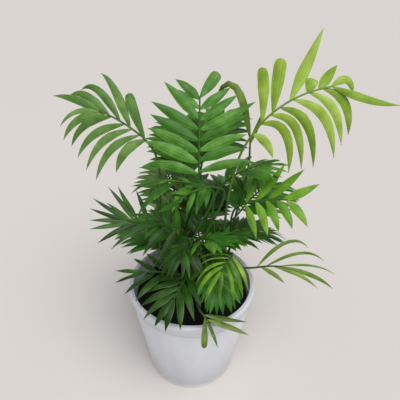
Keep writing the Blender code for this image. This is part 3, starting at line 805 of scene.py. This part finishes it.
def blade_frame(frond, along):
    """(left, upper) directions of the blade where its rib points along."""
    a = math.radians(frond.azimuth if frond.heading is None else frond.heading)
    level = Vector((-math.sin(a), math.cos(a), 0))
    left = (level - along * level.dot(along)).normalized()
    upper = along.cross(left)
    turn = math.radians(frond.turn)
    return (left * math.cos(turn) + upper * math.sin(turn), upper * math.cos(turn) - left * math.sin(turn))


def leaflets_of(frond, chance):
    """The frond's leaflets: its own ones or, where it has none, those that the rule gives."""
    if frond.own:
        return list(frond.own)
    made = []
    for side in (LEFT, RIGHT):
        for i in range(frond.pairs):
            at = (i + (0.35 if side == LEFT else 0.6)) / (frond.pairs + 0.2)
            arch = math.sin(math.pi * (0.22 + 0.62 * at))
            made.append(Leaflet(
                at, side,
                frond.leaf * (0.55 + 0.45 * arch) * chance.uniform(0.93, 1.07),
                frond.sweeps[0] + (frond.sweeps[1] - frond.sweeps[0]) * at + chance.uniform(-5, 5),
                frond.droop * chance.uniform(0.75, 1.3),
                frond.width * (0.75 + 0.25 * arch) * chance.uniform(0.93, 1.07),
                frond.lift + chance.uniform(-5, 5),
            ))
        made.append(Leaflet(1.0, side, frond.leaf * chance.uniform(0.62, 0.78), END_SWEEP,
                            frond.droop * 0.9, frond.width * 0.85, frond.lift))
    return made


def stations_of(leaflet):
    """The solid leaflet's stations, as shares of its length."""
    return BLUNT_STATIONS if leaflet.taper <= BLUNT else POINTED_STATIONS


def leaflet_line(frond, line, leaflet, more_droop, more_sweep, size, stations):
    """The root, and then (point, edge direction, upper direction) at each station of a leaflet."""
    root, along = along_line(line[PETIOLE_STEPS:], leaflet.at)
    left, upper = blade_frame(frond, along)
    sweep = math.radians(leaflet.sweep + more_sweep)
    lift = math.radians(leaflet.lift)
    out = left * leaflet.side * math.cos(lift) + upper * math.sin(lift)
    face = upper * math.cos(lift) - left * leaflet.side * math.sin(lift)
    first = along * math.cos(sweep) + out * math.sin(sweep)
    fall = UP * (leaflet.droop + more_droop)
    root -= along * ROOT_SINK
    rows, here, before = [], root.copy(), 0.0
    for share in stations:
        step = (first - fall * (share + before) / 2).normalized()
        here = here + step * leaflet.length * size * (share - before)
        heading = (first - fall * share).normalized()
        edge = heading.cross(face).normalized()
        rows.append((here, edge, edge.cross(heading)))
        before = share
    return root, rows


def width_share(share, taper):
    """The leaflet's outline: its width at a share of its length, as a share of its greatest width."""
    rise = 0.6
    peak = rise / (rise + taper)
    return (share**rise) * (1 - share) ** taper / (peak**rise * (1 - peak) ** taper)


def leaflet_shape(leaflet, root, rows, grow=0.0):
    """(points, faces) of a leaflet's solid: a flat top and a keel below, drawn to a point at both ends."""
    thickness = max(LEAST_THICKNESS, leaflet.length * LEAF_THICKNESS_SHARE)
    points, faces = [root], []
    for (here, edge, face), share in zip(rows[:-1], stations_of(leaflet)):
        half = leaflet.width * width_share(share, leaflet.taper) / 2 + grow
        top = here + face * (thickness * TOP_SHARE + grow)
        points += [top - edge * half, top + edge * half, here - face * (thickness * (1 - TOP_SHARE) + grow)]
    tip = len(points)
    points.append(rows[-1][0])
    for k in range(3):
        following = (k + 1) % 3
        faces.append((0, 1 + following, 1 + k))
        for ring in range(1, tip - 3, 3):
            faces.append((ring + k, ring + following, ring + following + 3, ring + k + 3))
        faces.append((tip - 3 + k, tip - 3 + following, tip))
    return points, faces


# Keeping clear

class Crowd:
    """What has been placed so far, by owner, and whether a new shape touches what others own."""

    def __init__(self):
        self.placed = []

    def add(self, owner, points, faces):
        low = Vector(map(min, zip(*points)))
        high = Vector(map(max, zip(*points)))
        self.placed.append((owner, low, high, BVHTree.FromPolygons(points, faces)))

    def is_clear(self, owner, points, faces):
        low = Vector(map(min, zip(*points)))
        high = Vector(map(max, zip(*points)))
        tree = None
        for other, other_low, other_high, other_tree in self.placed:
            apart = any(low[k] > other_high[k] or other_low[k] > high[k] for k in range(3))
            if other == owner or apart:
                continue
            tree = tree or BVHTree.FromPolygons(points, faces)
            if tree.overlap(other_tree):
                return False
        return True


def sleeve(line, radii):
    """A stalk's tube, grown by the clearance and, at the foot that lies against its cane, by the gap."""
    grown = [r + CLEARANCE for r in radii]
    return tube(line, [radii[0] + GAP, *grown[1:]], STALK_ROUND)


def free_stalk(frond, canes, crowd):
    """(frond, line) of the first stalk that keeps clear, moving the frond a little where none does."""
    radii = stalk_radii()
    slots = list(product(SLOT_TURNS, canes, SLOT_SHARES, SEATS))
    for more_azimuth, more_height in STALK_NUDGES:
        moved = replace(frond, azimuth=frond.azimuth + more_azimuth, height=frond.height + more_height)
        for turn, cane, share, seat in slots:
            out = moved.azimuth + turn
            foot = cane.point(share) + direction(out, 0) * (cane.radius(share) + SHEATH_RADIUS * seat + GAP)
            line = stalk_line(moved, foot, out)
            if crowd.is_clear("", *sleeve(line, radii)):
                return moved, line
    raise RuntimeError("no free slot")


def place_stalks(fronds, canes, crowd):
    """Gives each frond a slot on one of the canes nearest to it. Returns {name: (frond, line)}."""
    stalks = {}
    for name, frond in fronds.items():
        aim = direction(frond.azimuth, 0) * min(frond.reach, CLUMP_RADIUS) * AIM_SHARE
        nearest = sorted(canes, key=lambda cane: (cane.foot.xy.to_3d() - aim).length)[:NEAREST_CANES]
        stalks[name] = free_stalk(frond, nearest, crowd)
        crowd.add(name, *tube(stalks[name][1], stalk_radii(), STALK_ROUND))
    return stalks


# How a leaflet is moved until it keeps clear: (more droop, more sweep, size)
TRIES = ((0, 0, 1), (0.15, 0, 1), (-0.15, 0, 1), (0, 7, 1), (0, -7, 1), (0.35, 0, 1), (-0.3, 5, 1),
         (0.2, 10, 0.9), (-0.2, -10, 0.9), (0, 0, 0.75), (0.4, 8, 0.75), (-0.3, -8, 0.7), (0, 0, 0.5))


# The fine leaflets: more stations, a fold at the midrib, waved edges, and tips that bend over
FINE_STATIONS = (0.0, 0.05, 0.11, 0.18, 0.26, 0.35, 0.44, 0.53, 0.62, 0.71, 0.79, 0.86, 0.92, 0.97, 1.0)
ACROSS = (-1.0, -0.55, 0.0, 0.55, 1.0)
FOLD = 0.30  # of the half width, how far the edges hang below the midrib
WAVE = 0.10  # of the half width
WAVE_TURNS = 11  # radians along a leaflet
TWIST = 14  # degrees, at most, from root to tip
WAVE_LAG = 1.5  # radians between an edge's waves and the midrib's
BEND = 0.025  # of the length, at most, to one side
HOOK = 1.9  # how late the droop sets in
FINE_WIDER = 0.98
LEAST_HALF = 0.0003
BLUNT_FULL = 0.60  # share of its length where a blunt leaflet reaches its full width
BLUNT_END = 0.84  # and where its end begins to round off
BLUNT_FLAT = 0.25  # of the full width, how wide its end is cut
POINTED_FULL = 0.34
ROOT_SWELL = 0.60


def fine_width(share, taper):
    """The leaflet's outline: a narrow root, full along its middle, and a round or a drawn-out end."""
    if taper <= BLUNT:
        end = math.sqrt(max(0, 1 - (max(0, share - BLUNT_END) / (1 - BLUNT_END)) ** 2))
        cut = BLUNT_FLAT + (1 - BLUNT_FLAT) * end if share < 1 else 0
        return min(1, (share / BLUNT_FULL) ** ROOT_SWELL) * cut
    end = max(0, (share - POINTED_FULL) / (1 - POINTED_FULL)) ** (2 / taper)
    return min(1, (share / POINTED_FULL) ** ROOT_SWELL) * (1 - end)


def hooked(frond, line, leaflet, moved):
    """The leaflet's rows with its droop nearer the tip, which stays where the solid has it."""
    more_droop, more_sweep, size = moved
    root, rows = leaflet_line(frond, line, leaflet, *moved, FINE_STATIONS)
    heading = (rows[1][0] - root).normalized()
    fall = UP * (leaflet.droop + more_droop)
    start = (heading + fall * FINE_STATIONS[1] / 2).normalized()
    here, places = root.copy(), [root.copy()]
    for before, share in zip(FINE_STATIONS, FINE_STATIONS[1:]):
        middle = (share + before) / 2
        step = (start - fall * middle**HOOK * (1 + HOOK) / 2).normalized()
        here = here + step * leaflet.length * size * (share - before)
        places.append(here)
    miss = rows[-1][0] - here
    made = []
    for place, share, (_, edge, face) in zip(places, FINE_STATIONS, rows):
        made.append((place + miss * share, edge, face))
    return made


def fine_leaflet(frond, line, leaflet, moved, chance):
    """(points, faces, map) of the leaflet's blade; the map runs across and along it."""
    rows = hooked(frond, line, leaflet, moved)
    phase = chance.uniform(0, 2 * math.pi)
    twist = math.radians(chance.uniform(-TWIST, TWIST))
    bend = chance.uniform(-BEND, BEND) * leaflet.length
    points, faces, spots = [], [], []
    for i, ((here, edge, face), share) in enumerate(zip(rows, FINE_STATIONS)):
        after, before = rows[min(i + 1, len(rows) - 1)][0], rows[max(i - 1, 0)][0]
        heading = (after - before).normalized()
        edge = Quaternion(heading, twist * share) @ (edge - heading * edge.dot(heading)).normalized()
        face = edge.cross(heading)
        half = max(leaflet.width * FINE_WIDER * fine_width(share, leaflet.taper) / 2, LEAST_HALF)
        here = here + edge * bend * math.sin(math.pi * share)
        for across in ACROSS:
            wave = across * across * WAVE * math.sin(phase + WAVE_TURNS * share + WAVE_LAG * across)
            points.append(here + edge * across * half + face * half * (wave - FOLD * abs(across)))
            spots.append((across * 0.5 + 0.5, share))
    columns = len(ACROSS)
    for i in range(len(rows) - 1):
        for k in range(columns - 1):
            a = i * columns + k
            faces.append((a, a + 1, a + 1 + columns, a + columns))
    return points, faces, spots


def fitted_leaflets(name, frond, line, crowd):
    """The frond's leaflets that find room, as (leaflet, how it was moved), by the solids' rule."""
    chance = random.Random(f"{SEED} {name}")
    fitted = []
    for leaflet in leaflets_of(frond, chance):
        for moved in TRIES:
            shape = leaflet_line(frond, line, leaflet, *moved, stations_of(leaflet))
            if crowd.is_clear(name, *leaflet_shape(leaflet, *shape, CLEARANCE)):
                crowd.add(name, *leaflet_shape(leaflet, *shape))
                fitted.append((leaflet, moved))
                break
    return fitted


BETWEEN_WIDTH = 0.85  # of its neighbour's
BETWEEN_LIFT = -5


def closer_set(fitted):
    """The same leaflets, and a narrower one between each two neighbours on a side."""
    made = list(fitted)
    for side in (LEFT, RIGHT):
        row = sorted((pair for pair in fitted if pair[0].side == side), key=lambda pair: pair[0].at)
        for (leaflet, moved), (other, _) in zip(row, row[1:]):
            made.append((replace(
                leaflet,
                at=(leaflet.at + other.at) / 2,
                length=(leaflet.length + other.length) / 2,
                sweep=(leaflet.sweep + other.sweep) / 2,
                width=leaflet.width * BETWEEN_WIDTH,
                lift=leaflet.lift + BETWEEN_LIFT,
            ), moved))
    return made


def leaf_mesh(name, blades, chance):
    """One mesh of a frond's blades, mapped across and along each, with a shade of its own for each."""
    mesh = mesh_of(name, *joined((points, faces) for points, faces, _ in blades))
    spots = [spot for _, _, blade_spots in blades for spot in blade_spots]
    layer = mesh.uv_layers.new(name="blade")
    for loop in mesh.loops:
        layer.data[loop.index].uv = spots[loop.vertex_index]
    shades = mesh.attributes.new("shade", "FLOAT", "POINT")
    vertex = 0
    for points, _, _ in blades:
        shade = chance.random()
        for _ in points:
            shades.data[vertex].value = shade
            vertex += 1
    return mesh


STALK_FINE_ROUND = 2
STALK_FINE_STEPS = 4


def smooth_line(line, radii):
    """The stalk's line and radii with points between, on a Catmull-Rom curve through the given ones."""
    fine_line, fine_radii = [], []
    for i in range(len(line) - 1):
        p0, p1, p2, p3 = line[max(i - 1, 0)], line[i], line[i + 1], line[min(i + 2, len(line) - 1)]
        for k in range(STALK_FINE_STEPS):
            t = k / STALK_FINE_STEPS
            fine_line.append((p1 * 2 + (p2 - p0) * t + (p0 * 2 - p1 * 5 + p2 * 4 - p3) * t**2
                              + (p1 * 3 - p0 - p2 * 3 + p3) * t**3) / 2)
            fine_radii.append(radii[i] + (radii[i + 1] - radii[i]) * t)
    return [*fine_line, line[-1]], [*fine_radii, radii[-1]]


# Greens by age and place, the darkest partly painted shade: (dark, blade, light, stalk), sRGB
LEAF_GREENS = {
    "young": ("6E9420", "90B43A", "B6D463", "7FA038"),
    "fresh": ("40740C", "63961C", "94C048", "5E8C24"),
    "mid": ("174604", "2E6A10", "5E9832", "3A6A18"),
    "deep": ("225406", "3C7618", "6AA040", "366A14"),
    "dusky": ("3F6428", "5A8238", "82A65A", "567A30"),
    "lime": ("2F5C04", "5E8C12", "A6CC42", "70941E"),
    # painted shade in part: these greens darken the fronds that sit inside the crown and hang low under it
    "dark": ("0F2C02", "1E460A", "427022", "284E12"),
    "olive": ("42641A", "60802A", "8CA24C", "68782E"),
    "bronzed": ("32480E", "4C6618", "84964A", "4C5E1A"),
}
LEAF_MARGIN = "B9CE6C"
# painted shade in part: the stalks' darker green low down in the clump, which is also their age
STALK_LOW_AGED_AND_SHADED = "2E5210"
OTHER_GREENS = {"frond_right_middle": "fresh", "frond_rim": "bronzed"}  # where it isn't the slot's
VEINS = 1.3  # bands across the blade, far fewer than the real veins, which would not show
LEAF_PATCHES = 75.0  # to the metre, about 13 mm each
PATCH_SHARE = 0.86  # of the blade's tone; the veins have the rest
SHADE_SHARE = 0.24  # of the tone, from the leaflet's own shade
STALK_PATCHES = 120.0  # to the metre, about 8 mm each
STALK_DARK_BELOW = 0.24  # height in metres
STALK_LIGHT_ABOVE = 0.37
LINE_SIDE, LINE_MIDDLE, NO_LINE = "6A6A6A", "505050", "000000"  # how strongly a pale line shows
PALE_LINES = (
    (0.0, LINE_SIDE), (0.07, NO_LINE), (0.46, NO_LINE), (0.50, LINE_MIDDLE), (0.54, NO_LINE), (0.93, NO_LINE),
    (1.0, LINE_SIDE),
)


# Living palm leaf: satin, streaked along its veins, with a paler midrib and a thin pale margin
def leaf_skin(tint):
    dark, blade, light, _ = LEAF_GREENS[tint]
    made, tree, shader = new_material("palm_leaf_" + tint, 0.40, 0.25)
    spot = add_node(tree, "UVMap", {"uv_map": "blade"}).outputs["UV"]
    place = add_node(tree, "TexCoord").outputs["Object"]
    shade = add_node(tree, "Attribute", {"attribute_name": "shade"}).outputs["Fac"]
    veins = add_node(tree, "TexWave", Vector=spot, Scale=VEINS, Distortion=2.5, Detail=2.0).outputs["Fac"]
    patches = add_node(tree, "TexNoise", Vector=place, Scale=LEAF_PATCHES, Detail=4.0).outputs["Fac"]
    streaked = add_node(tree, "Mix", _0=PATCH_SHARE, _2=veins, _3=patches).outputs[0]
    mixed = add_node(tree, "Mix", _0=SHADE_SHARE, _2=streaked, _3=shade).outputs[0]
    tone = add_node(tree, "ValToRGB", stops=((0.25, dark), (0.50, blade), (0.76, light)), Fac=mixed)
    across = add_node(tree, "SeparateXYZ", Vector=spot).outputs["X"]
    lines = add_node(tree, "ValToRGB", stops=PALE_LINES, Fac=across)
    edged = add_node(tree, "MixRGB", Fac=lines.outputs["Color"], Color1=tone.outputs["Color"],
                     Color2=colour(LEAF_MARGIN))
    tree.links.new(edged.outputs["Color"], shader.inputs["Base Color"])
    bump = add_node(tree, "Bump", Height=veins, Strength=0.25, Distance=0.0004)
    tree.links.new(bump.outputs["Normal"], shader.inputs["Normal"])
    return made


# Living palm stalk: smooth, dark green down in the clump, partly for age and partly as painted shade, and as
# light as its leaflets above
def stalk_skin(tint):
    made, tree, shader = new_material("palm_stalk_" + tint, 0.45, 0.25)
    place = add_node(tree, "TexCoord").outputs["Object"]
    patches = add_node(tree, "TexNoise", Vector=place, Scale=STALK_PATCHES, Detail=3.0).outputs["Fac"]
    dark, _, _, stalk = LEAF_GREENS[tint]
    tone = add_node(tree, "ValToRGB", stops=((0.30, dark), (0.65, stalk)), Fac=patches)
    # painted shade in part: the stalk turns darker green towards its foot, low in the clump
    height = add_node(tree, "SeparateXYZ", Vector=place).outputs["Z"]
    above = add_node(tree, "MapRange", Value=height, From_Min=STALK_DARK_BELOW, From_Max=STALK_LIGHT_ABOVE)
    aged_and_shaded = add_node(tree, "MixRGB", Fac=above.outputs["Result"], Color1=colour(STALK_LOW_AGED_AND_SHADED),
                    Color2=tone.outputs["Color"])
    tree.links.new(aged_and_shaded.outputs["Color"], shader.inputs["Base Color"])
    return made


# Every frond in turn: its leaflets in one piece, which takes its node's place, and its stalk in another
crowd = Crowd()
for i, cane in enumerate(canes):
    crowd.add(f"cane_{i + 1}", *cane_shape(cane))
stalks = place_stalks({**FRONDS, **tier_fronds()}, canes, crowd)
leaf_skins = {tint: leaf_skin(tint) for tint in LEAF_GREENS}
stalk_skins = {tint: stalk_skin(tint) for tint in LEAF_GREENS}
for name, (frond, line) in stalks.items():
    chance = random.Random(f"fine {name}")
    fitted = fitted_leaflets(name, frond, line, crowd)
    if not frond.own:
        fitted = closer_set(fitted)
    blades = [fine_leaflet(frond, line, leaflet, moved, chance) for leaflet, moved in fitted]
    green, slot = OTHER_GREENS.get(name, frond.tint), "leaf_" + frond.tint
    piece(name + "_leaflets", leaf_mesh(name + "_leaflets", blades, chance), leaf_skins[green], slot, name)
    stalk = tube(*smooth_line(line, stalk_radii()), STALK_FINE_ROUND)
    piece(name + "_stalk", mesh_of(name + "_stalk", *stalk), stalk_skins[green], slot)


# The setting
# A plain pale matt floor under a soft sky, which fills in the shadows. One broad lamp hangs high overhead, a
# little in front and to the right.

FLOOR_HALF = 6.0
LAMP_AIM = Vector((-0.25, 0.50, -1.0))
LAMP_SPREAD = math.radians(50)
LAMP_ENERGY = 2.45
SKY_STRENGTH = 0.42

corners = [(x * FLOOR_HALF, y * FLOOR_HALF, 0) for x, y in ((-1, -1), (1, -1), (1, 1), (-1, 1))]
floor = bpy.data.objects.new("floor", mesh_of("floor", corners, [(0, 1, 2, 3)]))
bpy.context.scene.collection.objects.link(floor)
pale, _, pale_shader = new_material("pale_floor", 0.7, 0.2)
pale_shader.inputs["Base Color"].default_value = colour("D8D3CE")
floor.data.materials.append(pale)

sky = bpy.data.worlds.new("soft_sky")
sky.use_nodes = True
sky.node_tree.nodes["Background"].inputs["Color"].default_value = colour("EFEEF2")
sky.node_tree.nodes["Background"].inputs["Strength"].default_value = SKY_STRENGTH
bpy.context.scene.world = sky

overhead = bpy.data.lights.new("overhead", "SUN")
overhead.energy = LAMP_ENERGY
overhead.angle = LAMP_SPREAD
lamp = bpy.data.objects.new("overhead", overhead)
lamp.rotation_euler = LAMP_AIM.to_track_quat("-Z", "Y").to_euler()
bpy.context.scene.collection.objects.link(lamp)


# The camera
# It stands where the photograph was taken, close in front and above the crown. It looks down on the plant and
# is rolled a little.

CAMERA_PLACE = (0.0092, -0.384, 0.4968)
CAMERA_NEAR = 0.01
CAMERA_PITCH = math.radians(31.6)
CAMERA_ROLL = math.radians(0.66)

camera = bpy.data.objects.new("camera", bpy.data.cameras.new("camera"))
camera.data.lens = 36
camera.data.sensor_width = 36
camera.data.clip_start = CAMERA_NEAR
camera.matrix_world = (Matrix.Translation(CAMERA_PLACE) @ Matrix.Rotation(math.pi / 2 - CAMERA_PITCH, 4, "X")
                       @ Matrix.Rotation(CAMERA_ROLL, 4, "Z"))
bpy.context.scene.collection.objects.link(camera)
bpy.context.scene.camera = camera
bpy.context.scene.view_settings.view_transform = "Standard"
